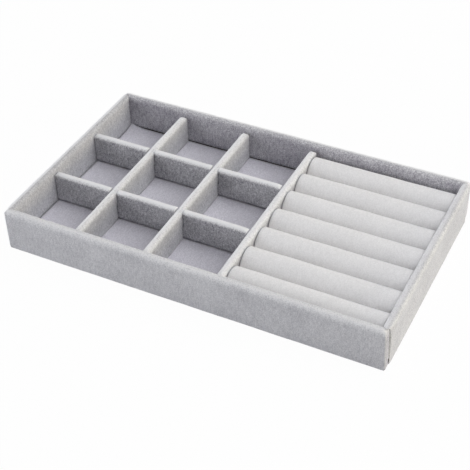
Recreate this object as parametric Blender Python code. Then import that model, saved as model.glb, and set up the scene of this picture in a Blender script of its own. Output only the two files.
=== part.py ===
"""A velvet jewelry tray: nine square cells beside a row of seven ring rolls.

Every wall and divider is a stiff board wrapped in its own velvet cover. The velvet is
also turned in round the ends and into the slots where two dividers cross. The covers
of the dividers are open along the foot, where they stand on the lined floor, and the
covers of the walls turn in under the board and stop where the base board meets it.
Each ring roll is a foam rod in a velvet sleeve, glued shut along its underside.

Lengths are in metres. +X runs along the long side, +Y from the front to the back and
+Z up, and the origin is in the middle of the underside.
"""

import math

import bmesh
import bpy

# The spaces that the tray offers.
cell_columns = 3
cell_rows = 3
cell_width = 0.035
cell_depth = 0.0355
ring_section_width = 0.082
ring_roll_count = 7

# The dividers are glued in by hand. This is how far they stand to the right of even steps.
column_divider_shift = -0.0006
section_divider_shift = 0.0011

# Heights above the table, and steps down from them.
rim_height = 0.024
divider_drop = 0.0026

# Thicknesses of the materials.
wall_board_thickness = 0.003
divider_board_thickness = 0.0025
base_board_thickness = 0.0018
fabric_thickness = 0.0006
lining_thickness = 0.0006
underside_thickness = 0.0004

# Clearances: the glue line between two pieces, and the play in a crossing of dividers.
glue_gap = 0.0003
crossing_clearance = 0.0003

# How far the front and back walls stop short of the side walls' outer faces.
long_wall_end_inset = 0.001

# Rounding of the wrapped boards, measured on the outside of the velvet: first the
# corners of the boards' outlines, then the edges that the velvet is turned over.
wall_corner_radius = 0.0024
wall_foot_corner_radius = 0.0024
column_divider_corner_radius = 0.003
row_divider_corner_radius = 0.0018
rim_edge_radius = 0.002
foot_edge_radius = 0.0006
end_edge_radius = 0.0008
side_wall_end_radius = 0.0012

# The sheet that is glued on below.
underside_inset = 0.003
underside_corner_radius = 0.002

# The ring rolls.
roll_end_radius = 0.0019
roll_end_crown = 0.0003
roll_seam_width = 0.0012

# How finely the round shapes are drawn, and how far each cut runs past what it cuts.
corner_steps = 3
edge_steps = 3
roll_sides = 24
hidden_end_steps = 1
cut_overrun = 0.002
sharp_angle = math.radians(35)

# Worked out from the sizes above, from the outside in.
wrap_thickness = fabric_thickness + glue_gap
wall_thickness = wall_board_thickness + 2 * wrap_thickness
divider_thickness = divider_board_thickness + 2 * wrap_thickness
interior_width = cell_columns * (cell_width + divider_thickness) + ring_section_width
interior_depth = cell_rows * cell_depth + (cell_rows - 1) * divider_thickness
outer_width = interior_width + 2 * wall_thickness
outer_depth = interior_depth + 2 * wall_thickness
long_wall_length = outer_width - 2 * long_wall_end_inset

# Worked out from the sizes above, from the table up.
wall_foot = underside_thickness + glue_gap
base_bottom = wall_foot + wrap_thickness
base_top = base_bottom + base_board_thickness
lining_bottom = base_top + glue_gap
floor_height = lining_bottom + lining_thickness
divider_foot = floor_height + glue_gap
divider_top = rim_height - divider_drop
crossing_height = (divider_foot + divider_top) / 2

# Where the base board's edge meets the walls' boards.
base_width = interior_width + 2 * (wrap_thickness - glue_gap)
base_depth = interior_depth + 2 * (wrap_thickness - glue_gap)

# The centre lines of the dividers, from the left and from the front.
column_pitch = cell_width + divider_thickness
row_pitch = cell_depth + divider_thickness
column_lines = [
    -interior_width / 2 + number * column_pitch - divider_thickness / 2 + column_divider_shift
    for number in range(1, cell_columns)
]
row_lines = [
    -interior_depth / 2 + number * row_pitch - divider_thickness / 2
    for number in range(1, cell_rows)
]
section_line = interior_width / 2 - ring_section_width - divider_thickness / 2 + section_divider_shift

# The rolls fill the depth of their section, side by side, with a glue gap between them.
roll_pitch = interior_depth / ring_roll_count
roll_radius = (roll_pitch - glue_gap) / 2
roll_length = ring_section_width - section_divider_shift - 2 * glue_gap
roll_height = floor_height + glue_gap + roll_radius


def clear_scene():
    """Remove whatever the file opened with."""
    for item in list(bpy.data.objects):
        bpy.data.objects.remove(item)


def finish_material(name, colour, roughness):
    """A plain finish with one colour and no metal in it."""
    material = bpy.data.materials.new(name)
    material.use_nodes = True
    shader = material.node_tree.nodes["Principled BSDF"]
    shader.inputs["Base Color"].default_value = (*colour, 1)
    shader.inputs["Roughness"].default_value = roughness
    shader.inputs["Metallic"].default_value = 0
    return material


def place(name, mesh, material, location=(0, 0, 0), turn=0, parent=None):
    """Put a mesh in the scene as one named piece."""
    piece = bpy.data.objects.new(name, mesh)
    piece.location = location
    piece.rotation_euler = (0, 0, turn)
    piece.parent = parent
    bpy.context.collection.objects.link(piece)
    if material and not mesh.materials:
        mesh.materials.append(material)
    return piece


def mesh_from(name, shape):
    """Close a bmesh into a mesh, with its faces outwards and its round parts smooth."""
    bmesh.ops.remove_doubles(shape, verts=shape.verts, dist=glue_gap / 1000)
    bmesh.ops.recalc_face_normals(shape, faces=shape.faces)
    mesh = bpy.data.meshes.new(name)
    shape.to_mesh(mesh)
    shape.free()
    smooth(mesh)
    return mesh


def smooth(mesh):
    """Shade the round parts smooth and keep the corners sharp."""
    mesh.shade_smooth()
    mesh.set_sharp_from_angle(angle=sharp_angle)


def bridge(shape, rings, closed_ends):
    """Join rings of points with quads, and cap the first and the last ring."""
    loops = [[shape.verts.new(point) for point in ring] for ring in rings]
    for first, second in zip(loops, loops[1:]):
        for index in range(len(first)):
            following = (index + 1) % len(first)
            corners = (first[index], first[following], second[following], second[index])
            shape.faces.new(corners)
    if closed_ends:
        shape.faces.new(loops[0])
        shape.faces.new(loops[-1])
    return loops


def box_mesh(name, low, high):
    """A box between two corners."""
    shape = bmesh.new()
    outline = [(low[0], low[1]), (high[0], low[1]), (high[0], high[1]), (low[0], high[1])]
    rings = [[(x, y, z) for x, y in outline] for z in (low[2], high[2])]
    bridge(shape, rings, True)
    return mesh_from(name, shape)


def cut_away(mesh, cutters):
    """Return the mesh with every cutter mesh subtracted from it."""
    target = place(mesh.name, mesh, None)
    tools = [place("cutter", cutter, None) for cutter in cutters]
    for tool in tools:
        tool.hide_render = True
        tool.display_type = "WIRE"
        modifier = target.modifiers.new("cut", "BOOLEAN")
        modifier.operation = "DIFFERENCE"
        modifier.solver = "EXACT"
        modifier.object = tool
    graph = bpy.context.evaluated_depsgraph_get()
    result = bpy.data.meshes.new_from_object(target.evaluated_get(graph))
    result.name = mesh.name
    for item in [target, *tools]:
        bpy.data.objects.remove(item)
    result.materials.clear()
    smooth(result)
    return result


def arc_points(centre_x, centre_z, radius, start, first_edge, last_edge):
    """A quarter turn of outline points, each with its outward direction and edge radius."""
    points = []
    for step in range(corner_steps + 1):
        share = step / corner_steps
        angle = start + math.pi / 2 * share
        outward = (math.cos(angle), math.sin(angle))
        x = centre_x + radius * outward[0]
        z = centre_z + radius * outward[1]
        edge = first_edge + (last_edge - first_edge) * share
        points.append((x, z, *outward, edge, edge))
    return points


def square_points(half, z, sides, end_edge, level_edge):
    """The point of an end where a rim or foot begins to turn, and the corner beyond it.

    The turn of the end and that of the rim or foot meet in a mitre at the corner.
    """
    out_x, out_z = sides
    x = half * out_x
    begin = (x, z - out_z * level_edge, out_x, 0, end_edge, end_edge)
    corner = (x, z, out_x, out_z, end_edge, level_edge)
    return [begin, corner]


def panel_outline(length, foot, top, radii, end_edge, kind):
    """The outline of an upright panel, from its right foot round over the rim to its left foot.

    Each point has its outward direction and its edge radii towards the end and up or down.
    """
    corner, foot_corner, rim_edge, foot_edge = radii[:4]
    half = length / 2
    if kind == "between":
        right = square_points(half, foot, (1, -1), end_edge, foot_edge)[::-1]
        right += square_points(half, top, (1, 1), end_edge, rim_edge)
        left = square_points(half, top, (-1, 1), end_edge, rim_edge)[::-1]
        left += square_points(half, foot, (-1, -1), end_edge, foot_edge)
        return right + left
    quarter = math.pi / 2
    upper_right = arc_points(half - corner, top - corner, corner, 0, end_edge, rim_edge)
    upper_left = arc_points(-half + corner, top - corner, corner, quarter, rim_edge, end_edge)
    if kind == "divider":
        lower_right = [(half, foot, 1, 0, end_edge, end_edge)]
        lower_left = [(-half, foot, -1, 0, end_edge, end_edge)]
        return lower_right + upper_right + upper_left + lower_left
    centre = half - foot_corner
    height = foot + foot_corner
    lower_right = arc_points(centre, height, foot_corner, -quarter, foot_edge, end_edge)
    lower_left = arc_points(-centre, height, foot_corner, math.pi, end_edge, foot_edge)
    return lower_right + upper_right + upper_left + lower_left


def drawn_back(radius, depth):
    """How far a rounded edge lies inside its outline, at a depth behind the face."""
    remaining = max(radius - depth, 0)
    return radius - math.sqrt(radius**2 - remaining**2)


def edge_rings(outline, half):
    """Rings from the flat of a panel's outer face round its edges to its middle."""
    rings = []
    for step in range(edge_steps + 1):
        angle = math.pi / 2 * step / edge_steps
        ring = []
        for x, z, out_x, out_z, *edges in outline:
            end_edge, level_edge = [min(edge, half) for edge in edges]
            depth = max(end_edge, level_edge) * (1 - math.cos(angle))
            inset_x = out_x * drawn_back(end_edge, depth)
            inset_z = out_z * drawn_back(level_edge, depth)
            ring.append((x - inset_x, depth - half, z - inset_z))
        rings.append(ring)
    return rings


def panel_mesh(name, length, foot, top, thickness, radii, kind):
    """An upright panel along X, with its edges rounded towards both faces.

    The inner face, at +Y, has its own radius round the ends.
    """
    outer_end, inner_end = radii[4:]
    outer = panel_outline(length, foot, top, radii, outer_end, kind)
    inner = panel_outline(length, foot, top, radii, inner_end, kind)
    front = edge_rings(outer, thickness / 2)
    mirrored = edge_rings(inner, thickness / 2)
    back = [[(x, -y, z) for x, y, z in ring] for ring in reversed(mirrored)]
    shape = bmesh.new()
    bridge(shape, front + back, True)
    return mesh_from(name, shape)


def shrunk(radii, inset):
    """The radii of a shape that lies inside another by an even inset."""
    return [max(radius - inset, 0) for radius in radii]


def widened(slot, margin):
    """A slot's box, wider by a margin along the panel and at its two ends."""
    low, high = slot
    wider_low = (low[0] - margin, low[1], low[2] - margin)
    wider_high = (high[0] + margin, high[1], high[2] + margin)
    return wider_low, wider_high


def with_slots(mesh, slots, margin):
    """Return the mesh with every slot cut through it, wider by the margin."""
    for slot in slots:
        mesh = cut_away(mesh, [box_mesh("slot", *widened(slot, margin))])
    return mesh


def wrapped_panel(name, length, foot, top, board_thickness, radii, kind, slots):
    """The meshes of a board and of the velvet wrapped round it and into its slots.

    kind is "end_to_end" for a wall whose ends show, "between" for a wall that stands
    between two others, and "divider" for a panel whose foot is open.
    """
    open_foot = kind == "divider"
    thickness = board_thickness + 2 * wrap_thickness
    outer = panel_mesh(name + "_cover", length, foot, top, thickness, radii, kind)
    hollow = panel_mesh(
        name + "_hollow",
        length - 2 * fabric_thickness,
        foot - cut_overrun if open_foot else foot + fabric_thickness,
        top - fabric_thickness,
        thickness - 2 * fabric_thickness,
        shrunk(radii, fabric_thickness),
        kind,
    )
    board = panel_mesh(
        name + "_board",
        length - 2 * wrap_thickness,
        foot if open_foot else foot + wrap_thickness,
        top - wrap_thickness,
        board_thickness,
        shrunk(radii, wrap_thickness),
        kind,
    )
    hollow = with_slots(hollow, slots, fabric_thickness)
    cover = with_slots(cut_away(outer, [hollow]), slots, 0)
    return with_slots(board, slots, wrap_thickness), cover


def base_slot(length):
    """The slot in a wall's cover, on its inner side, that lets the base board reach the wall."""
    low = (-length / 2, 0, base_bottom - glue_gap / 2)
    high = (length / 2, wall_thickness / 2 + cut_overrun, base_top + glue_gap)
    return box_mesh("base_slot", low, high)


def long_wall_radii():
    """Radii of a front or back wall: its corners at the top and foot, then its edges.

    The edges are those at the rim, at the foot, and outside and inside at the ends.
    """
    corners = [wall_corner_radius, wall_foot_corner_radius]
    return corners + [rim_edge_radius, foot_edge_radius, end_edge_radius, end_edge_radius]


def side_wall_radii():
    """The same radii for a side wall, whose ends meet the other walls with square corners."""
    return [0, 0, rim_edge_radius, foot_edge_radius, side_wall_end_radius, 0]


def divider_radii(corner_radius):
    """The same radii for a divider, whose foot is cut square."""
    return [corner_radius, 0, rim_edge_radius, 0, end_edge_radius, end_edge_radius]


def add_long_walls(board_finish, velvet):
    """The front and back walls, which cover all but the outermost of the side walls' ends."""
    board, cover = wrapped_panel(
        "long_wall", long_wall_length, wall_foot, rim_height, wall_board_thickness,
        long_wall_radii(), "end_to_end", [],
    )
    cover = cut_away(cover, [base_slot(base_width + 2 * glue_gap)])
    middle = (outer_depth - wall_thickness) / 2
    for name, y, turn in (("front", -middle, 0), ("back", middle, math.pi)):
        place(name + "_wall_board", board, board_finish, (0, y, 0), turn)
        place(name + "_wall_cover", cover, velvet, (0, y, 0), turn)


def add_side_walls(board_finish, velvet):
    """The left and right walls, which stand between the front and back walls."""
    length = interior_depth - 2 * glue_gap
    board, cover = wrapped_panel(
        "side_wall", length, wall_foot, rim_height, wall_board_thickness,
        side_wall_radii(), "between", [],
    )
    cover = cut_away(cover, [base_slot(length + 2 * cut_overrun)])
    middle = (outer_width - wall_thickness) / 2
    quarter = math.pi / 2
    for name, x, turn in (("left", -middle, -quarter), ("right", middle, quarter)):
        place(name + "_wall_board", board, board_finish, (x, 0, 0), turn)
        place(name + "_wall_cover", cover, velvet, (x, 0, 0), turn)


def crossing_slots(centres, low_end, high_end):
    """The slots that let one set of dividers cross another, from a low to a high end."""
    half = divider_thickness / 2 + crossing_clearance
    reach = divider_thickness / 2 + cut_overrun
    return [
        ((centre - half, -reach, low_end), (centre + half, reach, high_end))
        for centre in centres
    ]


def add_column_dividers(board_finish, velvet):
    """The dividers that run from front to back, slotted from below over the row dividers."""
    length = interior_depth - 2 * glue_gap
    slots = crossing_slots(row_lines, divider_foot - cut_overrun, crossing_height + glue_gap / 2)
    board, cover = wrapped_panel(
        "column_divider", length, divider_foot, divider_top, divider_board_thickness,
        divider_radii(column_divider_corner_radius), "divider", slots,
    )
    for number, x in enumerate(column_lines, start=1):
        name = f"column_divider_{number}"
        place(name + "_board", board, board_finish, (x, 0, 0), math.pi / 2)
        place(name + "_cover", cover, velvet, (x, 0, 0), math.pi / 2)


def add_section_divider(board_finish, velvet):
    """The divider between the cells and the ring rolls, which nothing crosses."""
    length = interior_depth - 2 * glue_gap
    board, cover = wrapped_panel(
        "section_divider", length, divider_foot, divider_top, divider_board_thickness,
        divider_radii(column_divider_corner_radius), "divider", [],
    )
    place("section_divider_board", board, board_finish, (section_line, 0, 0), math.pi / 2)
    place("section_divider_cover", cover, velvet, (section_line, 0, 0), math.pi / 2)


def add_row_dividers(board_finish, velvet):
    """The dividers that run from the left wall to the section divider, slotted from above."""
    left = -interior_width / 2 + glue_gap
    right = section_line - divider_thickness / 2 - glue_gap
    middle = (left + right) / 2
    centres = [line - middle for line in column_lines]
    slots = crossing_slots(centres, crossing_height - glue_gap / 2, divider_top + cut_overrun)
    board, cover = wrapped_panel(
        "row_divider", right - left, divider_foot, divider_top, divider_board_thickness,
        divider_radii(row_divider_corner_radius), "divider", slots,
    )
    for number, y in enumerate(row_lines, start=1):
        name = f"row_divider_{number}"
        place(name + "_board", board, board_finish, (middle, y, 0))
        place(name + "_cover", cover, velvet, (middle, y, 0))


def sheet_mesh(name, width, depth, bottom, thickness, radius):
    """A flat sheet, centred on the tray, with its four corners rounded."""
    outline = []
    for number, (side_x, side_y) in enumerate(((1, 1), (-1, 1), (-1, -1), (1, -1))):
        centre_x = side_x * (width / 2 - radius)
        centre_y = side_y * (depth / 2 - radius)
        arc = arc_points(centre_x, centre_y, radius, number * math.pi / 2, 0, 0)
        outline += [point[:2] for point in arc]
    rings = [[(x, y, z) for x, y in outline] for z in (bottom, bottom + thickness)]
    shape = bmesh.new()
    bridge(shape, rings, True)
    return mesh_from(name, shape)


def add_floor(board_finish, lining_velvet, underside_finish):
    """The base board between the walls, the lining on it and the sheet glued on below."""
    underside = sheet_mesh(
        "underside_sheet",
        outer_width - 2 * underside_inset,
        outer_depth - 2 * underside_inset,
        0,
        underside_thickness,
        underside_corner_radius,
    )
    place("underside_sheet", underside, underside_finish)
    base = sheet_mesh("base_board", base_width, base_depth, base_bottom, base_board_thickness, 0)
    place("base_board", base, board_finish)
    lining = sheet_mesh(
        "floor_lining",
        interior_width - 2 * glue_gap,
        interior_depth - 2 * glue_gap,
        lining_bottom,
        lining_thickness,
        0,
    )
    place("floor_lining", lining, lining_velvet)


def roll_profile(inset, steps):
    """Half the outline of a roll, from its left tip to its right tip, as (x, radius)."""
    half = roll_length / 2 - inset
    radius = roll_radius - inset
    turn = max(roll_end_radius - inset, 0)
    flat = radius - turn
    shoulder = half - roll_end_crown
    points = [(half, 0)]
    for step in range(steps + 1):
        angle = math.pi / 2 * (1 - step / steps)
        points.append((shoulder - turn + turn * math.sin(angle), flat + turn * math.cos(angle)))
    return [(-x, r) for x, r in points] + [(x, r) for x, r in reversed(points)]


def roll_mesh(name, inset, steps):
    """A round rod along X with crowned ends, inset from the roll's outside."""
    profile = roll_profile(inset, steps)
    shape = bmesh.new()
    rings = []
    for x, radius in profile:
        angles = [2 * math.pi * side / roll_sides for side in range(roll_sides)]
        rings.append([(x, radius * math.sin(a), -radius * math.cos(a)) for a in angles])
    bridge(shape, rings, False)
    return mesh_from(name, shape)


def add_ring_rolls(foam, velvet):
    """The row of foam rods in their sleeves, which hold rings in the grooves between them."""
    core = roll_mesh("ring_roll_core", wrap_thickness, hidden_end_steps)
    seam_length = roll_length - 2 * (roll_end_radius + roll_end_crown)
    seam_low = (-seam_length / 2, -roll_seam_width / 2, -roll_radius - cut_overrun)
    seam_high = (seam_length / 2, roll_seam_width / 2, -roll_radius / 2)
    hollow = roll_mesh("ring_roll_hollow", fabric_thickness, hidden_end_steps)
    seam = box_mesh("seam", seam_low, seam_high)
    cover = cut_away(roll_mesh("ring_roll_cover", 0, edge_steps), [hollow, seam])
    section = bpy.data.objects.new("ring_section", None)
    section_middle = interior_width / 2 - glue_gap - roll_length / 2
    section.location = (section_middle, 0, roll_height)
    bpy.context.collection.objects.link(section)
    for number in range(1, ring_roll_count + 1):
        y = -interior_depth / 2 + (number - 0.5) * roll_pitch
        place(f"ring_roll_{number}_core", core, foam, (0, y, 0), 0, section)
        place(f"ring_roll_{number}_cover", cover, velvet, (0, y, 0), 0, section)


def build_tray():
    """Build every piece of the tray."""
    clear_scene()
    board = finish_material("fibreboard", (0.42, 0.30, 0.19), 0.85)
    foam = finish_material("roll_foam", (0.80, 0.80, 0.78), 0.9)
    wall_velvet = finish_material("wall_velvet", (0.50, 0.50, 0.51), 0.9)
    divider_velvet = finish_material("divider_velvet", (0.56, 0.56, 0.57), 0.9)
    floor_velvet = finish_material("floor_velvet", (0.40, 0.41, 0.46), 0.9)
    roll_velvet = finish_material("roll_velvet", (0.66, 0.65, 0.64), 0.9)
    underside = finish_material("underside_paper", (0.35, 0.35, 0.36), 0.8)
    add_floor(board, floor_velvet, underside)
    add_long_walls(board, wall_velvet)
    add_side_walls(board, wall_velvet)
    add_column_dividers(board, divider_velvet)
    add_section_divider(board, divider_velvet)
    add_row_dividers(board, divider_velvet)
    add_ring_rolls(foam, roll_velvet)


build_tray()
print("tray, in mm:", round(outer_width * 1000, 1), round(outer_depth * 1000, 1), rim_height * 1000)
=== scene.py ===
# %% [markdown]
# # A velvet jewelry tray
#
# The real tray is a shallow box of stiff boards. Each board is wrapped in a short, soft
# velvet. Nine square cells lie on the left and seven foam ring rolls on the right.
#
# The solid model is loaded first. It fixes every size and every place, so each piece
# made here takes its measures from the solid piece that it stands for. All lengths are
# in metres: +X runs along the long side, +Y from the front to the back and +Z up.

# %% Load the solid tray
import math

import bmesh
import bpy
from mathutils import Matrix, Vector, noise


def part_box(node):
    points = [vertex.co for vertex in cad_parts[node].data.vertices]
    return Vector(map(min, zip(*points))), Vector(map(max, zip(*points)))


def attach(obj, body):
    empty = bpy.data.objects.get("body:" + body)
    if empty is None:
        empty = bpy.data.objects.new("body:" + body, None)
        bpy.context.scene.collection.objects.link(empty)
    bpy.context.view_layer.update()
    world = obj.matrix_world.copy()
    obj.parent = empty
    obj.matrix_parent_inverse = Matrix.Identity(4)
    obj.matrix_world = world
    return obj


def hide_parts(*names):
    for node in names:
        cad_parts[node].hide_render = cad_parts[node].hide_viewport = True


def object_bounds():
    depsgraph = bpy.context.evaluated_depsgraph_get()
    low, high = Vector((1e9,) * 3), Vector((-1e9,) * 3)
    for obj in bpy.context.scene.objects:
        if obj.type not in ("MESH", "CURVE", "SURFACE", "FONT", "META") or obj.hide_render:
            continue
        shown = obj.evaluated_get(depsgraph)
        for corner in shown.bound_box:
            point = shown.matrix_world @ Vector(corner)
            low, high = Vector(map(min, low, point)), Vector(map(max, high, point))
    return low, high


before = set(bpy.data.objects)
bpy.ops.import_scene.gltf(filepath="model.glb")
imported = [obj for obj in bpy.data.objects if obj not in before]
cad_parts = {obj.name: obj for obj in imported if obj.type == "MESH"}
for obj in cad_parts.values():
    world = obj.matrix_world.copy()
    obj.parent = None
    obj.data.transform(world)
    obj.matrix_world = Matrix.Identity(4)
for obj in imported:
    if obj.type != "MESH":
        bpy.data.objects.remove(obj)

mm = 0.001
solid_low, solid_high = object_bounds()
print("solid tray, in mm:", [round(side / mm, 1) for side in solid_high - solid_low])

# %% [markdown]
# ## The camera
#
# The picture was taken from the front right, looking down at about 40 degrees. A camera
# is fixed by where it stands, which way it looks and how long its lens is. These values
# were worked out by matching the corners of the tray, which is the usual way to find the
# camera of an existing picture. The picture is square and 470 pixels wide, and the lens
# is given in those pixels, so it is turned to millimetres of a 36 mm sensor here.
#
# An object shows only once it is linked to a collection of the scene. One helper does
# both for everything that is made here.

# %% Camera
picture_width = 470
lens_in_pixels = 1119.3
sensor_width = 36
camera_place = Vector((206.6, -406.7, 378.2)) * mm
camera_azimuth = math.radians(27.29)
camera_elevation = math.radians(39.81)
camera_roll = math.radians(-1.48)


def add_object(name, data):
    """A new object in the scene, at the origin."""
    added = bpy.data.objects.new(name, data)
    bpy.context.scene.collection.objects.link(added)
    return added


def add_camera():
    """The camera at the picture's place, turned to look the way the picture does."""
    data = bpy.data.cameras.new("camera")
    data.sensor_width = sensor_width
    data.lens = sensor_width * lens_in_pixels / picture_width
    camera = add_object("camera", data)
    level = math.cos(camera_elevation)
    towards_camera = Vector((
        math.sin(camera_azimuth) * level,
        -math.cos(camera_azimuth) * level,
        math.sin(camera_elevation),
    ))
    look = (-towards_camera).to_track_quat("-Z", "Y").to_matrix().to_4x4()
    roll = Matrix.Rotation(camera_roll, 4, "Z")
    camera.matrix_world = Matrix.Translation(camera_place) @ look @ roll
    bpy.context.scene.camera = camera
    return camera


print("lens, in mm:", round(add_camera().data.lens, 1))

# %% [markdown]
# ## Helpers for colours and nodes
#
# Colours are given as sRGB hex values, as a paint program shows them, but a
# shader works with linear light. One function turns the first into the second. Another
# adds a node and fills its inputs, each with a plain value or with the output of another
# node. That keeps a long node tree readable as a list of steps.

# %% Colour and node helpers


def linear(hex_colour):
    """An sRGB hex colour as linear red, green, blue and a full alpha."""
    channels = []
    for start in (1, 3, 5):
        value = int(hex_colour[start:start + 2], 16) / 255
        channels.append(value / 12.92 if value <= 0.04045 else ((value + 0.055) / 1.055) ** 2.4)
    return (*channels, 1)


def add_node(tree, kind, inputs=None, **settings):
    """One node. Each input is a value, or the output of another node that feeds it."""
    node = tree.nodes.new(kind)
    for name, setting in settings.items():
        setattr(node, name, setting)
    for socket, given in (inputs or {}).items():
        if isinstance(given, bpy.types.NodeSocket):
            tree.links.new(given, node.inputs[socket])
        else:
            node.inputs[socket].default_value = given
    return node


def new_material(name):
    """A material with an empty node tree."""
    material = bpy.data.materials.new(name)
    material.use_nodes = True
    material.node_tree.nodes.clear()
    return material


# %% [markdown]
# ## Velvet
#
# The cloth is a polyester velvet with a pile well under a millimetre long. Three things
# tell the eye that it is velvet. The tips of the pile catch light at grazing angles, so
# every rounded rim looks frosted: that is the shader's sheen. The pile stands unevenly,
# in short streaks along the way it lies, which gives a fine grain. And hands have stroked
# it, which leaves broad soft patches.
#
# Where the cloth turns over an edge, its pile opens like a fan and shows more of its
# light tips, and the rims are also painted lighter, a painted highlight for the light that
# falls on them. The wraps below carry that as an attribute, from 0 on the flats to about
# 1 on top of a rim, and each side of each rim has its own share of the painted highlight.
# The faces that stand in shade, such as the backs of the cells, are painted darker, with
# shaded roots and a rougher grain; a second attribute carries that painted shade. A piece
# without these attributes reads 0. The grain's two ends lie closer together where its contrast is
# higher.
#
# The real grain is about 0.3 mm, too fine for the picture, so it is drawn at about
# 0.6 mm. The colour mixes the shaded roots with the light tips of the pile. A mix takes
# its two ends from sockets 6 and 7 for colours, and from 2 and 3 for numbers.

# %% Velvet material
grain_size = 0.6 * mm
streak_size = 1.1 * mm
patch_size = 22 * mm
pile_height = 0.25 * mm
streak_part = 0.35
patch_part = 0.15
# How far the rims are painted lighter, as a painted highlight.
painted_rim_highlight = 0.7
middle_height = 0.535
sheen_tint = "#F4F4F8"


def pile_heights(tree, place, stretch):
    """The height of the pile as a fine pattern, and the same with the broad patches."""
    along = add_node(tree, "ShaderNodeMapping", {"Vector": place, "Scale": stretch}).outputs[0]
    grain = add_node(tree, "ShaderNodeTexNoise", {
        "Vector": place, "Scale": 1 / grain_size, "Detail": 2, "Roughness": 0.6,
    }).outputs[0]
    streaks = add_node(tree, "ShaderNodeTexNoise", {
        "Vector": along, "Scale": 1 / streak_size, "Detail": 3, "Roughness": 0.65,
    }).outputs[0]
    patches = add_node(tree, "ShaderNodeTexNoise", {
        "Vector": place, "Scale": 1 / patch_size, "Detail": 2, "Distortion": 0.6,
    }).outputs[0]
    fine = add_node(tree, "ShaderNodeMix", {0: streak_part, 2: grain, 3: streaks}).outputs[0]
    pile = add_node(tree, "ShaderNodeMix", {0: patch_part, 2: fine, 3: patches}).outputs[0]
    return fine, pile


def pile_colour(tree, pile, colours, spreads):
    """The colour of the pile, with painted shade on the faces in shade and a painted highlight on a
    rim.
    """
    shaded_root, root, tip = [linear(colour) for colour in colours]
    soft_spread, rough_spread = spreads
    # Painted shade: the faces in shade get darker roots and a rougher grain.
    shade_share = add_node(tree, "ShaderNodeAttribute", attribute_name="painted_shade_and_grain").outputs["Fac"]
    spread = add_node(tree, "ShaderNodeMapRange", {
        "Value": shade_share, "To Min": soft_spread, "To Max": rough_spread,
    }).outputs[0]
    lowest = add_node(tree, "ShaderNodeMath", {
        0: middle_height, 1: spread,
    }, operation="SUBTRACT").outputs[0]
    highest = add_node(tree, "ShaderNodeMath", {
        0: middle_height, 1: spread,
    }, operation="ADD").outputs[0]
    shade = add_node(tree, "ShaderNodeMapRange", {
        "Value": pile, "From Min": lowest, "From Max": highest,
    }).outputs[0]
    # Painted highlight: the rims are mixed towards the light tips.
    turned = add_node(tree, "ShaderNodeAttribute", attribute_name="turned").outputs["Fac"]
    grain_and_highlight = add_node(tree, "ShaderNodeMath", {
        0: turned, 1: painted_rim_highlight, 2: shade,
    }, operation="MULTIPLY_ADD").outputs[0]
    roots = add_node(tree, "ShaderNodeMix", {
        0: shade_share, 6: root, 7: shaded_root,
    }, data_type="RGBA").outputs[2]
    return add_node(tree, "ShaderNodeMix", {
        0: grain_and_highlight, 6: roots, 7: tip,
    }, data_type="RGBA").outputs[2]


def velvet(name, colours, spreads, stretch, relief):
    """Short polyester velvet, from the colours of its painted shaded roots, its roots and its tips.

    The spreads are those of its grain on plain faces and on faces with painted shade. Its
    streaks are longest where the stretch is smallest.
    """
    material = new_material(name)
    tree = material.node_tree
    place = add_node(tree, "ShaderNodeTexCoord").outputs["Object"]
    fine, pile = pile_heights(tree, place, stretch)
    dullness = add_node(tree, "ShaderNodeMapRange", {
        "Value": fine, "To Min": 0.85, "To Max": 1,
    }).outputs[0]
    bump = add_node(tree, "ShaderNodeBump", {
        "Height": fine, "Strength": relief, "Distance": pile_height,
    }).outputs[0]
    shader = add_node(tree, "ShaderNodeBsdfPrincipled", {
        "Base Color": pile_colour(tree, pile, colours, spreads),
        "Roughness": dullness,
        "Normal": bump,
        "Metallic": 0,
        "IOR": 1.5,
        "Specular IOR Level": 0.15,
        "Sheen Weight": 1,
        "Sheen Roughness": 0.3,
        "Sheen Tint": linear(sheen_tint),
    }).outputs[0]
    add_node(tree, "ShaderNodeOutputMaterial", {"Surface": shader})
    return material


# The four velvets are one cloth. Their colours are set apart as painted light and shade: lighter on
# the rolls and the lining, darker on the dividers, whose faces stand in the shade of the cells.
wall_velvet = velvet(
    "grey_velvet_on_walls", ("#918D98", "#ADADB2", "#EBEBEC"), (0.17, 0.13), (1, 1, 0.45), 0.8
)
divider_velvet = velvet(
    "grey_velvet_on_dividers", ("#6D6B74", "#959598", "#F6F6F7"), (0.3, 0.2), (1, 1, 0.45), 0.6
)
lining_velvet = velvet(
    "grey_velvet_lining", ("#A1A0A8", "#CBC9D2", "#F4F2FA"), (0.17, 0.17), (1, 0.45, 1), 0.5
)
roll_velvet = velvet(
    "pale_velvet_on_rolls", ("#C8C7C9", "#E9E8E8", "#FDFCFC"), (0.17, 0.17), (1, 0.45, 0.45), 0.5
)
print("velvets:", wall_velvet.name, divider_velvet.name, lining_velvet.name, roll_velvet.name)

# %% [markdown]
# ## Boards, foam and paper
#
# Three plain materials are almost hidden. The boards are grey-brown fibreboard: pressed
# wood fibres, matt, with a fine speckle and no grain direction. The cores of the rolls
# are pale polyether foam, a matt mass of small open cells. The sheet below is uncoated
# kraft-grey paper, matt, with soft cloudy fibres. A noise or a cell pattern of the right
# size, and a little bump, is enough for each.

# %% Materials for boards, foam and paper
cloud_scale = 0.08
dullness_spread = 0.08


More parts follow.
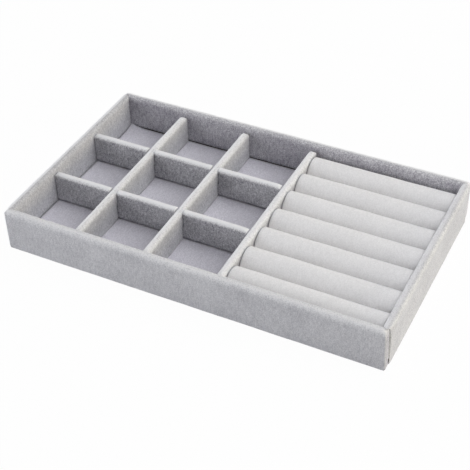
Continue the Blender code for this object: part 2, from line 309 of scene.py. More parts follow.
def speckled(name, dark, light, pattern, size, depth, roughness):
    """A matt material with one pattern for its colour and its relief."""
    material = new_material(name)
    tree = material.node_tree
    place = add_node(tree, "ShaderNodeTexCoord").outputs["Object"]
    spots = add_node(tree, pattern, {"Vector": place, "Scale": 1 / size}).outputs[0]
    clouds = add_node(tree, "ShaderNodeTexNoise", {
        "Vector": place, "Scale": cloud_scale / size, "Detail": 4,
    }).outputs[0]
    mixed = add_node(tree, "ShaderNodeMix", {0: 0.5, 2: spots, 3: clouds}).outputs[0]
    colour = add_node(tree, "ShaderNodeMix", {
        0: mixed, 6: linear(dark), 7: linear(light),
    }, data_type="RGBA").outputs[2]
    dullness = add_node(tree, "ShaderNodeMapRange", {
        "Value": mixed, "To Min": roughness - dullness_spread,
        "To Max": roughness + dullness_spread,
    }).outputs[0]
    bump = add_node(tree, "ShaderNodeBump", {
        "Height": spots, "Strength": 0.6, "Distance": depth,
    }).outputs[0]
    shader = add_node(tree, "ShaderNodeBsdfPrincipled", {
        "Base Color": colour,
        "Roughness": dullness,
        "Normal": bump,
        "Metallic": 0,
        "IOR": 1.5,
        "Specular IOR Level": 0.3,
    }).outputs[0]
    add_node(tree, "ShaderNodeOutputMaterial", {"Surface": shader})
    return material


fibreboard = speckled(
    "fibreboard", "#5A5248", "#8A8073", "ShaderNodeTexNoise", 0.7 * mm, 0.08 * mm, 0.85
)
foam = speckled(
    "polyether_foam", "#C9C6BC", "#EFEDE6", "ShaderNodeTexVoronoi", 0.8 * mm, 0.3 * mm, 0.9
)
paper = speckled(
    "grey_backing_paper", "#77777A", "#96969A", "ShaderNodeTexNoise", 0.5 * mm, 0.03 * mm, 0.88
)
print("plain materials:", fibreboard.name, foam.name, paper.name)

# %% [markdown]
# The boards, the foam cores, the base board and the backing sheet have the right shape
# already, so the solid pieces stay and only get these materials.

# %% Dress the solid pieces that stay
kept_finishes = {"board": fibreboard, "core": foam, "sheet": paper}
for node_name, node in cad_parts.items():
    finish = kept_finishes.get(node_name.split("_")[-1])
    if finish:
        node.data.materials.clear()
        node.data.materials.append(finish)
print("pieces kept:", sum(name.split("_")[-1] in kept_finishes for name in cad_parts))

# %% [markdown]
# ## Wrapped boards
#
# Walls and dividers are all the same thing: a flat board with velvet drawn tightly over
# it and glued. What shows is the cloth, so each wrap is modelled as a real sheet that is
# 0.6 mm thick, with soft turns over the rim and round the ends.
#
# Beveling a box would round it too, but a plain box has no points on its flat sides, and
# real cloth on a board is never quite flat. So the wrap starts as a grid of lines over
# the panel's face, close together in the turns and a step apart on the flats. Each grid
# point gets its half thickness from a quarter circle near an edge, and the corners of
# the grid are bent onto round corners ring by ring. A Solidify modifier then gives the
# cloth its thickness, inwards.

# %% Sizes of the wraps
fabric_thickness = 0.6 * mm
glue_gap = 0.3 * mm
crossing_clearance = 0.3 * mm
rim_turn = 2 * mm
rim_band = 2.6 * mm
foot_turn = 0.5 * mm
end_turn = 0.8 * mm
seam_turn = 0.35 * mm
slot_turn = 0.5 * mm
end_press = 0.35 * mm
rim_end_press = 0.9 * mm
rim_press_height = 6 * mm
press_length = 7 * mm
reach_length = 12 * mm
rim_lean = 0.9
lean_length = 4 * mm
foot_drop = 0.5 * mm
drop_height = 4 * mm
pressed_length = 2 * mm
pressed_share = 0.2
turn_steps = 6
slot_turn_steps = 3
face_step = 1.5 * mm
wave_height = 0.09 * mm
wave_length = 17 * mm
dimple_height = 0.035 * mm
dimple_length = 4 * mm
noise_steps = (3.7, 1.3, 2.1)


def turn_lines(edge, inwards, radius, steps):
    """Lines that start on an edge and spread out as the cloth turns onto the flat."""
    angles = [math.pi / 2 * step / steps for step in range(steps + 1)]
    return [edge + inwards * radius * (1 - math.cos(angle)) for angle in angles]


def grid_lines(low, high, low_turn, high_turn, marks):
    """Lines across a face: close together in the turns at both ends, and on every mark."""
    lines = set(marks)
    lines |= set(turn_lines(low, 1, low_turn, turn_steps))
    lines |= set(turn_lines(high, -1, high_turn, turn_steps))
    start = low + low_turn
    end = high - high_turn
    count = max(1, round((end - start) / face_step))
    for step in range(1, count):
        line = start + (end - start) * step / count
        if all(abs(line - mark) > face_step / 3 for mark in marks):
            lines.add(line)
    return sorted(lines)


def on_round_corner(x, z, centre, outward, radius):
    """A point of a square corner, moved onto the ring of a round corner with the same depth."""
    across = (x - centre[0]) * outward[0]
    up = (z - centre[1]) * outward[1]
    if not radius or across <= 0 or up <= 0:
        return x, z
    reach = max(across, up)
    turn = math.pi / 4 * min(across, up) / reach
    if up > across:
        turn = math.pi / 2 - turn
    return (
        centre[0] + outward[0] * reach * math.cos(turn),
        centre[1] + outward[1] * reach * math.sin(turn),
    )


# %% [markdown]
# A slot is a gap that is cut through a divider where another one crosses it. The cloth is
# turned into it, so its edges get a small turn of their own. A wall's slot is different:
# it is cut in the inner face only, for the base board, and its cloth just stops.
#
# The class below holds the sizes of one panel and answers two questions for any place
# on its face: how thick is it there, and where does the place end up once the corners
# of the outline are round?

# %% A wrapped panel


class Panel:
    """The sizes of one wrapped board, upright along X with its inner side at +Y.

    Its table of painted light says how much painted shade each face has, and how much
    painted highlight each side of its rim has. A face that the table doesn't name has no
    painted shade, and a rim that it doesn't name has the full painted highlight.
    """

    def __init__(self, kind, length, foot, top, thickness, corners, painted_light, slots=(), base_slot=None,
                 reach=None, pressed_end=None):
        self.painted_light = painted_light
        self.reach = reach or {}
        self.length = length
        self.foot = foot
        self.top = top
        self.thickness = thickness
        self.corners = corners
        self.slots = slots
        self.base_slot = base_slot
        self.closed_foot = kind != "divider"
        self.end_turn = seam_turn if kind == "side wall" else end_turn
        self.lean = rim_lean if kind == "side wall" else 0
        self.pressed_end = pressed_end
        self.drop = foot_drop if self.closed_foot else 0

    def half_thickness(self, face, x, z):
        """From the panel's middle to this face, which draws in where the cloth turns."""
        edges = [(self.top - z, rim_turn), (self.length / 2 - abs(x), self.end_turn)]
        if self.closed_foot:
            edges.append((z - self.foot, foot_turn))
        for low_x, high_x, low_z, high_z in self.slots:
            beside = max(low_x - x, x - high_x)
            beyond = max(low_z - z, z - high_z)
            edges.append((max(beside, beyond, 0), slot_turn))
        drawn_in = 0
        for depth, radius in edges:
            turn = min(radius, self.thickness / 2)
            left = turn - min(depth, turn)
            drawn_in = max(drawn_in, turn - math.sqrt(turn ** 2 - left ** 2))
        if face == "outer" and self.pressed_end:
            near_end = max(0, 1 - (self.length / 2 - x * self.pressed_end) / press_length)
            near_rim = max(0, 1 - (self.top - z) / rim_press_height)
            drawn_in = max(drawn_in, (end_press + near_rim * rim_end_press) * near_end ** 2)
        return self.thickness / 2 - drawn_in

    def rim_highlight_share(self, face, z):
        """How much painted highlight the rim has: 0 on the flats and most on top of the rim."""
        band = self.painted_light.get("rim_band", rim_band)
        return self.painted_light.get(face + "_rim", 1) * max(0, 1 - (self.top - z) / band)

    def leaned(self, x, z):
        """A place near the end of a side wall, moved out over the long wall's round rim."""
        near_rim = rim_turn - min(self.top - z, rim_turn)
        room = rim_turn - math.sqrt(rim_turn ** 2 - near_rim ** 2)
        near_end = max(0, 1 - (self.length / 2 - abs(x)) / lean_length)
        return x + math.copysign(self.lean * room * near_end, x), z

    def reached(self, x, z):
        """How far a place near an end is moved along, as a wrapped end isn't quite upright."""
        side = math.copysign(1, x)
        up = (z - self.foot) / (self.top - self.foot)
        at_foot = self.reach.get((side, "foot"), 0)
        at_top = self.reach.get((side, "top"), 0)
        near_end = max(0, 1 - (self.length / 2 - abs(x)) / reach_length)
        return side * near_end * (at_foot + (at_top - at_foot) * up)

    def fullness(self, x):
        """How thick the cloth is, from 0 where a side wall's end presses it to 1 elsewhere."""
        return min(1, (self.length / 2 - abs(x)) / pressed_length) if self.lean else 1

    def dropped(self, face, z):
        """How far the outer cloth of a wall hangs below its foot, to meet the table."""
        near_foot = max(0, 1 - (z - self.foot) / drop_height)
        return self.drop * near_foot if face == "outer" else 0

    def bend(self, x, z):
        """The place of a grid point in the panel's outline with its round corners."""
        levels = {"foot": (self.foot, -1), "top": (self.top, 1)}
        for (side, level_name), radius in self.corners.items():
            level, out = levels[level_name]
            centre = (side * (self.length / 2 - radius), level - out * radius)
            x, z = on_round_corner(x, z, centre, (side, out), radius)
        x += self.reached(x, z)
        return self.leaned(x, z)

    def columns(self):
        """Grid lines along the panel."""
        marks = []
        for low_x, high_x, _, _ in self.slots:
            marks += turn_lines(low_x, -1, slot_turn, slot_turn_steps)
            marks += turn_lines(high_x, 1, slot_turn, slot_turn_steps)
        if self.base_slot and self.base_slot[1] < self.length / 2:
            marks += self.base_slot[:2]
        half = self.length / 2
        return grid_lines(-half, half, self.end_turn, self.end_turn, marks)

    def rows(self):
        """Grid lines up the panel."""
        marks = []
        for _, _, low_z, high_z in self.slots:
            if low_z > self.foot:
                marks += turn_lines(low_z, -1, slot_turn, slot_turn_steps)
            if high_z < self.top:
                marks += turn_lines(high_z, 1, slot_turn, slot_turn_steps)
        if self.base_slot:
            marks += self.base_slot[2:]
        low_turn = foot_turn if self.closed_foot else 0
        return grid_lines(self.foot, self.top, low_turn, rim_turn, marks)


# %% [markdown]
# The skin is built square by square. Each square of the grid becomes a face on the outer
# side and one on the inner side. Where a square has no neighbour, at the rim, the ends,
# the foot or a slot, a strip joins the two sides, so the cloth turns over that edge.
# Each point also keeps its share of the painted highlight on the rims and of the painted shade on
# the faces in shade.

# %% Build one wrap


def inside(box, x, z):
    """Whether a place lies in a box of two ends and two heights."""
    return box is not None and box[0] < x < box[1] and box[2] < z < box[3]


def add_points(skin, panel, xs, zs):
    """The points of both faces, each with its painted highlight and painted shade and its cloth's
    fullness.
    """
    turned = skin.verts.layers.float.new("turned")
    painted_shade_and_grain = skin.verts.layers.float.new("painted_shade_and_grain")
    thickness_group = skin.verts.layers.deform.verify()
    points = {}
    for face, side in (("outer", -1), ("inner", 1)):
        for i, x in enumerate(xs):
            painted_light = panel.painted_light.get("end" if i in (0, len(xs) - 1) else face, 0)
            for j, z in enumerate(zs):
                bent_x, bent_z = panel.bend(x, z)
                half = panel.half_thickness(face, x, z)
                height = bent_z - panel.dropped(face, z)
                point = skin.verts.new((bent_x, side * half, height))
                # Painted highlight on the rims, and painted shade on the faces in shade away from
                # the rims.
                point[turned] = panel.rim_highlight_share(face, z)
                point[painted_shade_and_grain] = painted_light * max(0, 1 - point[turned])
                point[thickness_group][0] = panel.fullness(x)
                points[face, i, j] = point
    return points


def closed_squares(panel, xs, zs):
    """The grid's squares that no slot takes away, each with its middle."""
    middles = {
        (i, j): ((xs[i] + xs[i + 1]) / 2, (zs[j] + zs[j + 1]) / 2)
        for i in range(len(xs) - 1)
        for j in range(len(zs) - 1)
    }
    return {
        square: middle for square, middle in middles.items()
        if not any(inside(slot, *middle) for slot in panel.slots)
    }


def wrap_skin(panel):
    """The wrap's outer skin as a bmesh."""
    xs = panel.columns()
    zs = panel.rows()
    skin = bmesh.new()
    points = add_points(skin, panel, xs, zs)
    squares = closed_squares(panel, xs, zs)
    for i, j in sorted(squares):
        ring = [(i, j), (i + 1, j), (i + 1, j + 1), (i, j + 1)]
        skin.faces.new([points["outer", *corner] for corner in ring])
        if inside(panel.base_slot, *squares[i, j]):
            continue
        skin.faces.new([points["inner", *corner] for corner in reversed(ring)])
        neighbours = [(i, j - 1), (i + 1, j), (i, j + 1), (i - 1, j)]
        for number, neighbour in enumerate(neighbours):
            open_foot = neighbour[1] < 0 and not panel.closed_foot
            if neighbour in squares or open_foot:
                continue
            first = ring[number]
            second = ring[(number + 1) % 4]
            skin.faces.new([
                points["outer", *second], points["outer", *first],
                points["inner", *first], points["inner", *second],
            ])
    bmesh.ops.delete(skin, geom=[v for v in skin.verts if not v.link_faces], context="VERTS")
    return skin


def make_uneven(skin, seed):
    """Move the cloth gently in and out along its normals, with broad waves and small dimples."""
    skin.normal_update()
    start = Vector([seed * step for step in noise_steps])
    for point in skin.verts:
        wave = noise.noise(point.co / wave_length + start) * wave_height
        dimple = noise.noise(point.co / dimple_length + start) * dimple_height
        point.co += point.normal * (wave + dimple)


def finish_piece(piece, node_name):
    """Let a piece stand for its solid and ride with it."""
    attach(piece, "root")
    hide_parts(node_name)


def mesh_of(shape, name, finish):
    """A mesh with one material, from a bmesh that is done with."""
    mesh = bpy.data.meshes.new(name)
    shape.to_mesh(mesh)
    shape.free()
    mesh.materials.append(finish)
    return mesh


def add_cloth(mesh, thickness):
    """A piece of cloth from the mesh of its outer side, and what gives it its thickness."""
    mesh.shade_smooth()
    piece = add_object(mesh.name, mesh)
    cloth = piece.modifiers.new("cloth", "SOLIDIFY")
    cloth.thickness = thickness
    cloth.offset = -1
    return piece, cloth


def add_wrap(name, panel, place, turn, seed, finish):
    """One wrapped board's velvet, standing in its place."""
    skin = wrap_skin(panel)
    make_uneven(skin, seed)
    mesh = mesh_of(skin, name, finish)
    mesh.transform(Matrix.Translation(place) @ Matrix.Rotation(turn, 4, "Z"))
    piece, cloth = add_cloth(mesh, fabric_thickness)
    cloth.vertex_group = piece.vertex_groups.new(name="fullness").name
    cloth.thickness_vertex_group = pressed_share
    finish_piece(piece, name.replace("velvet_on_", "") + "_cover")
    return piece


# %% [markdown]
# ## The walls
#
# The front and back walls cover the ends of the side walls and stop about a millimetre
# short of the tray's corners, so the turned edge of the side wall shows beside them. The
# two meet in a seam, which shows as a dark line. Each wall has a slot low on its inner
# face, which lets the base board reach the wall's board. The cloth is thick enough to
# hang down to the table outside the backing sheet.
#
# No two corners of a hand-wrapped board are quite alike, so each has its own radius, read
# from the picture: -1 is the left end of a panel that is seen from outside, and 1 the
# right end. The ends aren't quite upright either: the right end of the front wall reaches
# further out at its foot than at its rim, and the seams at the front open towards the foot.
# At the rim the soft ends of the side walls lean over the round rims of the long walls,
# which closes the gap that two round edges would leave.

# %% Walls
long_wall_corners = {
    "front": {
        (-1, "foot"): 1.2 * mm, (-1, "top"): 1.6 * mm, (1, "foot"): 1.1 * mm, (1, "top"): 2.2 * mm,
    },
    "back": {
        (-1, "foot"): 1.6 * mm, (-1, "top"): 2 * mm, (1, "foot"): 1.2 * mm, (1, "top"): 1.2 * mm,
    },
}
end_reach = {
    "front": {
        (-1, "foot"): 0.1 * mm, (-1, "top"): 0.1 * mm, (1, "foot"): 0.6 * mm, (1, "top"): -0.4 * mm,
    },
    "back": {(-1, "foot"): 0.4 * mm, (-1, "top"): 0.3 * mm},
    "left": {(1, "foot"): -0.2 * mm, (1, "top"): 0.15 * mm},
    "right": {(-1, "foot"): -0.3 * mm, (-1, "top"): 0.15 * mm},
}
pressed_ends = {"left": 1, "right": -1}
# Shares of painted shade on the faces in shade, such as the back wall's inner face and the front
# wall's ends, and of painted highlight on each side of each rim.
wall_painted_light = {
    "front": {"end": 1, "outer_rim": 0.8, "inner_rim": 0.6},
    "back": {"inner": 1, "outer_rim": 1, "inner_rim": 0.2},
    "left": {"inner": 0.1, "outer_rim": 1.4, "inner_rim": 0},
    "right": {"outer_rim": 0.4, "inner_rim": 0.8},
}
wall_shadow_gap = {"back": 0.35 * mm}


def node_size(node_name):
    """A node's lowest corner, its sides and its middle."""
    low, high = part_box(node_name)
    return low, high - low, (low + high) / 2


def add_wall(side, turn, seed):
    """A wall's velvet, measured from the solid cover."""
    low, size, middle = node_size(side + "_wall_cover")
    length = max(size.x, size.y)
    thickness = min(size.x, size.y)
    base_low, base_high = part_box("base_board")
    base_length = base_high.x - base_low.x
    corners = long_wall_corners.get(side, {})
    kind = "long wall" if corners else "side wall"
    if kind == "side wall":
        base_length = length
    base_end = base_length / 2 + glue_gap
    slot_top = base_high.z + glue_gap
    if side in wall_shadow_gap:
        slot_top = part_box("floor_lining")[1].z + wall_shadow_gap[side]
    base_slot = (-base_end, base_end, base_low.z - glue_gap / 2, slot_top)
    top = low.z + size.z
    painted_light = wall_painted_light[side]
    panel = Panel(
        kind, length, low.z, top, thickness, corners, painted_light, base_slot=base_slot,
        reach=end_reach[side], pressed_end=pressed_ends.get(side),
    )
    wrap = add_wrap(
        f"velvet_on_{side}_wall", panel, Vector((middle.x, middle.y, 0)), turn, seed,
        wall_velvet,
    )


add_wall("front", 0, 1)
add_wall("back", math.pi, 2)
add_wall("left", -math.pi / 2, 3)
add_wall("right", math.pi / 2, 4)

# %% [markdown]
# ## The dividers
#
# The dividers cross like the cells of an egg carton. The column dividers, from front to
# back, are cut from below and run on at the top. The row dividers are cut from above and
# show a small gap on each side of the divider that they let through. Their velvet is open
# along the foot. It ends a little above the lining, higher on the row dividers, so that a
# dark line of shadow runs along the back of each cell. The pile at their ends touches the
# walls and closes most of the gap there, so this cloth is a little longer than its solid.
# In the picture the rows reach a little higher than the columns and their light rims are
# narrower, so their pile stands up above the solid and their painted rim highlight has a band of
# its own.

# %% Dividers
column_names = ["column_divider_1", "column_divider_2"]
row_names = ["row_divider_1", "row_divider_2"]
pile_reach = 0.1 * mm
column_corner = 3 * mm
row_corner = 1.8 * mm
column_shadow_gap = 0.1 * mm
row_shadow_gap = 0.7 * mm
row_rise = 0.3 * mm
# Shares of painted shade on the faces that look towards the viewer, and of painted highlight on
# each side of each rim.
column_painted_light = {"outer": 0.4, "outer_rim": 0.6}
section_painted_light = {"outer": 0.4, "outer_rim": 0.7, "inner_rim": 0.8}
row_painted_light = {"outer": 1, "rim_band": 1.6 * mm}


def crossing_slots(centres, low, high):
    """Slots of one width, from a low to a high end."""
    _, size, _ = node_size("section_divider_cover")
    half = size.x / 2 + crossing_clearance
    return [(centre - half, centre + half, low, high) for centre in centres]


def add_divider(node_name, slots, shadow_gap, rise, corner, painted_light, turn, seed):
    """A divider's velvet, measured from the solid cover."""
    low, size, middle = node_size(node_name + "_cover")
    length = max(size.x, size.y) + 2 * pile_reach
    thickness = min(size.x, size.y)
    foot = low.z + shadow_gap
    corners = {(-1, "top"): corner, (1, "top"): corner}
    top = low.z + size.z + rise
    panel = Panel("divider", length, foot, top, thickness, corners, painted_light, slots=slots)
    wrap = add_wrap(
        "velvet_on_" + node_name, panel, Vector((middle.x, middle.y, 0)), turn, seed,
        divider_velvet,
    )


row_low, row_size, row_middle = node_size("row_divider_1_cover")
crossing_height = row_low.z + row_size.z / 2
column_x = [node_size(name + "_cover")[2].x for name in column_names]
row_y = [node_size(name + "_cover")[2].y for name in row_names]
below = row_low.z - face_step
above = row_low.z + row_size.z + face_step
slots_from_below = crossing_slots(row_y, below, crossing_height + glue_gap / 2)
slots_from_above = crossing_slots(
    [x - row_middle.x for x in column_x], crossing_height - glue_gap / 2, above
)
column_cut = (column_shadow_gap, 0, column_corner)
row_cut = (row_shadow_gap, row_rise, row_corner)
for seed, name in enumerate(column_names, start=5):
    add_divider(name, slots_from_below, *column_cut, column_painted_light, math.pi / 2, seed)
add_divider("section_divider", [], *column_cut, section_painted_light, math.pi / 2, 7)
for seed, name in enumerate(row_names, start=8):
    add_divider(name, slots_from_above, *row_cut, row_painted_light, 0, seed)

# %% [markdown]
# ## The lining
#
# One sheet of velvet is glued on the base board under all the cells. It is laid flat by
# hand, so it is made as a fine grid that rises and falls by less than a tenth of a
# millimetre, and a Solidify modifier gives it its thickness. The picture shows that its
# back left corner didn't quite go down and bends up a little.

# %% Lining
corner_lift = 1.6 * mm
lift_length = 10 * mm
unit_square_half = 0.5


def add_lining():
    """The velvet sheet on the floor of the tray."""
    low, size, middle = node_size("floor_lining")
    skin = bmesh.new()
    columns = round(size.x / face_step)
    rows = round(size.y / face_step)
    place = Matrix.Translation((middle.x, middle.y, low.z + size.z))
    scale = Matrix.Diagonal((size.x, size.y, 1, 1))
    bmesh.ops.create_grid(
        skin, x_segments=columns, y_segments=rows, size=unit_square_half, matrix=place @ scale
    )
    make_uneven(skin, 11)
    corner = Vector((low.x, low.y + size.y))
    for point in skin.verts:
        near_corner = max(0, 1 - (point.co.xy - corner).length / lift_length)
        point.co.z += corner_lift * near_corner ** 2
    lining, _ = add_cloth(mesh_of(skin, "velvet_lining", lining_velvet), size.z)
    finish_piece(lining, "floor_lining")
    print("lining cut in mm:", round(size.y / mm, 1), "x", round(size.x / mm, 1))


add_lining()

# %% [markdown]
# ## The ring rolls
#
# A ring roll is a rod of foam in a tight velvet sleeve. Rings are pushed into the
# grooves between the rolls. Each roll is a turned shape with one rule: straight in the
# middle, a quarter circle at each end and a slightly crowned tip. The right ends are
# squashed flatter against the wall, so the two ends have a turn of their own. A rule like
# that is best written once, so a Geometry Nodes tree makes it, with its sizes as inputs.
#
# The tree starts from a flat grid. One direction of the grid becomes the way round the
# roll, the other the way along its outline. The table below is the rule: each line names
# a result, the operation that makes it and the one or two parts that go in. Three Map
# Range nodes split the outline into the straight part, the turn and the crown, and a
# fourth draws the sleeve in along its seam underneath.

# %% The rule of a roll
roll_inputs = {
    "Length": 81 * mm,
    "Radius": 8 * mm,
    "Left Turn": 1.2 * mm,
    "Right Turn": 0.9 * mm,
    "End Crown": 0.3 * mm,
    "Unevenness": 0.5 * mm,
    "Seam Depth": 0.06,
    "Seed": 0.0,
}
roll_rule = [
    ("right end", "GREATER_THAN", "grid y", 0),
    ("squash", "SUBTRACT", "Right Turn", "Left Turn"),
    ("squash here", "MULTIPLY", "squash", "right end"),
    ("End Turn", "ADD", "Left Turn", "squash here"),
    ("half length", "MULTIPLY", "Length", 0.5),
    ("end", "ADD", "End Turn", "End Crown"),
    ("straight half", "SUBTRACT", "half length", "end"),
    ("straight reach", "MULTIPLY", "straight share", "straight half"),
    ("sine of turn", "SINE", "turn", 0),
    ("turned reach", "MULTIPLY", "End Turn", "sine of turn"),
    ("kept squared", "MULTIPLY", "kept", "kept"),
    ("crown share", "SUBTRACT", 1, "kept squared"),
    ("crown reach", "MULTIPLY", "End Crown", "crown share"),
    ("end reach", "ADD", "turned reach", "crown reach"),
    ("reach", "ADD", "straight reach", "end reach"),
    ("side", "SIGN", "grid y", 0),
    ("x", "MULTIPLY", "side", "reach"),
    ("flat radius", "SUBTRACT", "Radius", "End Turn"),
    ("flat part", "MULTIPLY", "flat radius", "kept"),
    ("cosine of turn", "COSINE", "turn", 0),
    ("turned part", "MULTIPLY", "End Turn", "cosine of turn"),
    ("round radius", "ADD", "flat part", "turned part"),
    ("drawn in", "MULTIPLY", "seam", "Seam Depth"),
    ("left over", "SUBTRACT", 1, "drawn in"),
    ("radius", "MULTIPLY", "round radius", "left over"),
    ("angle", "MULTIPLY", "grid x", 2 * math.pi),
    ("sine round", "SINE", "angle", 0),
    ("y", "MULTIPLY", "radius", "sine round"),
    ("cosine round", "COSINE", "angle", 0),
    ("height", "MULTIPLY", "radius", "cosine round"),
    ("z", "MULTIPLY", "height", -1),
]

# %% [markdown]
# The tree runs through the table, closes the wrapped grid by merging the points that
# meet, and lets a noise with its own seed for each roll make the sleeve a little uneven,
# as hand-covered foam is.

# %% Geometry Nodes tree for a roll
around_steps = 96
straight_steps = 40
end_steps = 10
crown_steps = 7
half_steps = straight_steps + end_steps + crown_steps
straight_share = straight_steps / half_steps
end_share = (straight_steps + end_steps) / half_steps
roll_wave_length = 14 * mm
seam_share = 0.02
merge_distance = 0.01 * mm


def outline_parts(tree):
    """The flat grid, and the named parts of it that the roll's rule starts from."""
    grid = add_node(tree, "GeometryNodeMeshGrid", {
        "Size X": 1, "Size Y": 2,
        "Vertices X": around_steps + 1, "Vertices Y": 2 * half_steps + 1,
    }).outputs["Mesh"]
    place = add_node(tree, "GeometryNodeInputPosition").outputs[0]
    split = add_node(tree, "ShaderNodeSeparateXYZ", {0: place}).outputs
    along = add_node(tree, "ShaderNodeMath", {0: split[1]}, operation="ABSOLUTE").outputs[0]
    beside_seam = add_node(tree, "ShaderNodeMath", {0: split[0]}, operation="ABSOLUTE").outputs[0]
    parts = {"grid x": split[0], "grid y": split[1]}
    for name, value, start, end, first, last in (
        ("straight share", along, 0, straight_share, 0, 1),
        ("turn", along, straight_share, end_share, 0, math.pi / 2),
        ("kept", along, end_share, 1, 1, 0),
        ("seam", beside_seam, 0, seam_share, 1, 0),
    ):
        parts[name] = add_node(tree, "ShaderNodeMapRange", {
            "Value": value, "From Min": start, "From Max": end, "To Min": first, "To Max": last,
        }).outputs[0]
    return grid, place, parts


def rolled_up(tree, grid, parts):
    """The flat grid wrapped to a closed roll, with the points of its seam and tips merged."""
    wrapped = add_node(tree, "ShaderNodeCombineXYZ", {
        0: parts["x"], 1: parts["y"], 2: parts["z"],
    }).outputs[0]
    roll = add_node(tree, "GeometryNodeSetPosition", {
        "Geometry": grid, "Position": wrapped,
    }).outputs[0]
    return add_node(tree, "GeometryNodeMergeByDistance", {
        "Geometry": roll, "Distance": merge_distance,
    }).outputs[0]


def made_uneven(tree, roll, place, sizes):
    """The roll with its sleeve moved in and out by a noise."""
    waves = add_node(tree, "ShaderNodeTexNoise", {
        "Vector": place, "W": sizes["Seed"],
        "Scale": 1 / roll_wave_length, "Detail": 2, "Roughness": 0.45,
    }, noise_dimensions="4D").outputs[0]
    swell = add_node(tree, "ShaderNodeMapRange", {
        "Value": waves, "To Min": -0.5, "To Max": 0.5,
    }).outputs[0]
    height = add_node(tree, "ShaderNodeMath", {
        0: swell, 1: sizes["Unevenness"],
    }, operation="MULTIPLY").outputs[0]
    outwards = add_node(tree, "GeometryNodeInputNormal").outputs[0]
    offset = add_node(tree, "ShaderNodeVectorMath", {
        0: outwards, "Scale": height,
    }, operation="SCALE").outputs[0]
    return add_node(tree, "GeometryNodeSetPosition", {
        "Geometry": roll, "Offset": offset,
    }).outputs[0]


def make_roll_tree(finish):
    """The node tree of a ring roll, lying along X round the origin."""
    tree = bpy.data.node_groups.new("ring_roll", "GeometryNodeTree")
    tree.interface.new_socket("Roll", in_out="OUTPUT", socket_type="NodeSocketGeometry")
    for name, usual in roll_inputs.items():
        socket = tree.interface.new_socket(name, in_out="INPUT", socket_type="NodeSocketFloat")
        socket.default_value = usual
    sizes = add_node(tree, "NodeGroupInput").outputs
    grid, place, parts = outline_parts(tree)
    parts.update({name: sizes[name] for name in roll_inputs})
    for result, operation, first, second in roll_rule:
        given = {0: parts.get(first, first), 1: parts.get(second, second)}
        parts[result] = add_node(tree, "ShaderNodeMath", given, operation=operation).outputs[0]
    roll = made_uneven(tree, rolled_up(tree, grid, parts), place, sizes)
    roll = add_node(tree, "GeometryNodeSetShadeSmooth", {0: roll}).outputs[0]
    roll = add_node(tree, "GeometryNodeRealizeInstances", {0: roll}).outputs[0]
    roll = add_node(tree, "GeometryNodeSetMaterial", {
        "Geometry": roll, "Material": finish,
    }).outputs[0]
    add_node(tree, "NodeGroupOutput", {0: roll})
    return tree


roll_tree = make_roll_tree(roll_velvet)
print("roll tree nodes:", len(roll_tree.nodes))

# %% [markdown]
# Each roll gets the tree as a modifier, with the sizes of its own solid. The result is
# then turned into a plain mesh, without the empty material slot that the maker object
# leaves in front, and moved to its place in the tray.

# %% Rolls
roll_count = 7
roll_swell = 0.1 * mm
roll_press = 0.2 * mm
roll_seed_step = 1.7


def add_roll(number):
    """One ring roll, measured from the solid sleeve."""
    _, size, middle = node_size(f"ring_roll_{number}_cover")
    name = f"velvet_ring_roll_{number}"
    maker = add_object("roll_maker", bpy.data.meshes.new("roll_maker"))
    modifier = maker.modifiers.new("ring_roll", "NODES")
    modifier.node_group = roll_tree
    sizes = {
        "Length": size.x + 2 * roll_press,
        "Radius": size.y / 2 + roll_swell,
        "Seed": number * roll_seed_step,
    }
    for socket in roll_tree.interface.items_tree:
        if socket.in_out == "INPUT":
            modifier[socket.identifier] = sizes.get(socket.name, socket.default_value)
    graph = bpy.context.evaluated_depsgraph_get()
    mesh = bpy.data.meshes.new_from_object(maker.evaluated_get(graph))
    bpy.data.objects.remove(maker)
    mesh.materials.pop(index=0)
    mesh.transform(Matrix.Translation(middle))
    mesh.name = name
    roll = add_object(name, mesh)
    finish_piece(roll, f"ring_roll_{number}_cover")
    return roll


for number in range(1, roll_count + 1):
    roll = add_roll(number)
    print(roll.name, "points:", len(roll.data.vertices), "materials:", len(roll.data.materials))

# %% [markdown]
# ## Floor, world and lamps
#
# The tray stands on a white surface in soft studio light. The background is white for
# the camera because the world and the floor say so to rays from the camera, and to those
# that reach them by a mirror or through glass.
#
# Each lamp has a level: the brightness it gives a white sheet that faces it at the middle
# of the tray. A lamp's power grows with the square of its distance, so the power follows
# from the level. The levels were found by lighting the tray with one lamp at a time and
# solving for the mix that gives each face the brightness that it has in the picture. Two
# large lamps hang high, behind and to the right, and light the rims, the floor and the
# left sides of the cells. Three small ones stand low at the right, in front and at the
# left. They reach the outside of the walls, but the walls keep them out of the cells, so
# the faces in there that look towards the viewer stay dark. A weak one behind the tray
# keeps its back from going dull.

# %% Stage
world_light = 0.11
world_tint = "#F2F5FF"
floor_half = 3
floor_gap = 0.05 * mm
floor_white = "#F4F4F4"
floor_shine_through = 0.97
watts_for_level = 9.87
lamps = {
    "key": ((0.5, 0.45, 1.3), 1.8, 0.58, "#FFFFFF"),
    "upper_right": ((0.9, -0.1, 1.1), 1.4, 0.26, "#FFFFFF"),
    "low_right": ((1.35, 0.2, 0.15), 0.5, 0.42, "#FFF4D8"),
    "low_front": ((-0.7, -0.95, 0.26), 0.6, 0.37, "#FBFBFF"),
    "low_left": ((-1.3, 0.3, 0.18), 0.6, 0.45, "#FFFFFF"),
    "back": ((0.1, 1.3, 0.4), 0.9, 0.07, "#FFFFFF"),
}


def seen_directly(tree):
    """1 for rays from the camera, a mirror or a pane of glass, and 0 for the rest."""
    path = add_node(tree, "ShaderNodeLightPath").outputs
    seen = path["Is Camera Ray"]
    for ray in ("Is Glossy Ray", "Is Transmission Ray"):
        seen = add_node(tree, "ShaderNodeMath", {
            0: seen, 1: path[ray],
        }, operation="MAXIMUM").outputs[0]
    return seen


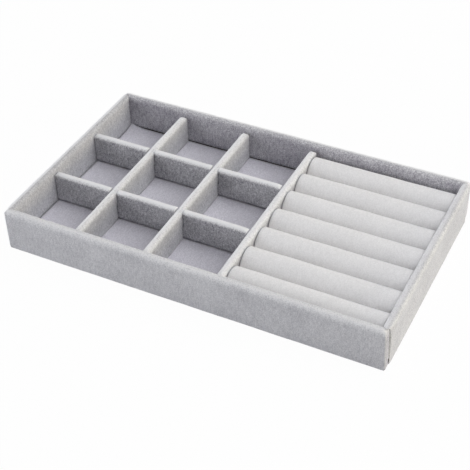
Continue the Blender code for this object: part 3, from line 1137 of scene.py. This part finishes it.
def add_world():
    """Plain soft light from all round, and white where the world itself is seen."""
    world = bpy.data.worlds.new("studio")
    world.use_nodes = True
    tree = world.node_tree
    tree.nodes.clear()
    light = add_node(tree, "ShaderNodeBackground", {
        "Color": linear(world_tint), "Strength": world_light,
    }).outputs[0]
    white = add_node(tree, "ShaderNodeBackground", {"Color": linear("#FFFFFF")}).outputs[0]
    mixed = add_node(tree, "ShaderNodeMixShader", {
        0: seen_directly(tree), 1: light, 2: white,
    }).outputs[0]
    add_node(tree, "ShaderNodeOutputWorld", {"Surface": mixed})
    bpy.context.scene.world = world


def add_floor():
    """A white surface that still takes a faint shadow of the tray."""
    material = new_material("white_studio_floor")
    tree = material.node_tree
    matt = add_node(tree, "ShaderNodeBsdfDiffuse", {"Color": linear(floor_white)}).outputs[0]
    white = add_node(tree, "ShaderNodeEmission", {"Color": linear("#FFFFFF")}).outputs[0]
    share = add_node(tree, "ShaderNodeMath", {
        0: seen_directly(tree), 1: floor_shine_through,
    }, operation="MULTIPLY").outputs[0]
    mixed = add_node(tree, "ShaderNodeMixShader", {0: share, 1: matt, 2: white}).outputs[0]
    add_node(tree, "ShaderNodeOutputMaterial", {"Surface": mixed})
    shape = bmesh.new()
    place = Matrix.Translation((0, 0, solid_low.z - floor_gap))
    bmesh.ops.create_grid(shape, x_segments=1, y_segments=1, size=floor_half, matrix=place)
    floor = add_object("floor", mesh_of(shape, "floor", material))


def add_lamp(name, place, size, level, tint):
    """A square soft lamp that points at the middle of the tray."""
    data = bpy.data.lights.new(name + "_lamp", "AREA")
    data.shape = "SQUARE"
    data.size = size
    data.energy = level * watts_for_level * Vector(place).length_squared
    data.color = linear(tint)[:3]
    lamp = add_object(name, data)
    aim = (-Vector(place)).to_track_quat("-Z", "Y").to_matrix().to_4x4()
    lamp.matrix_world = Matrix.Translation(place) @ aim


add_world()
add_floor()
for name, lamp in lamps.items():
    add_lamp(name, *lamp)
bpy.context.scene.view_settings.view_transform = "Standard"
print("lamps:", {lamp.name: round(lamp.energy, 1) for lamp in bpy.data.lights})
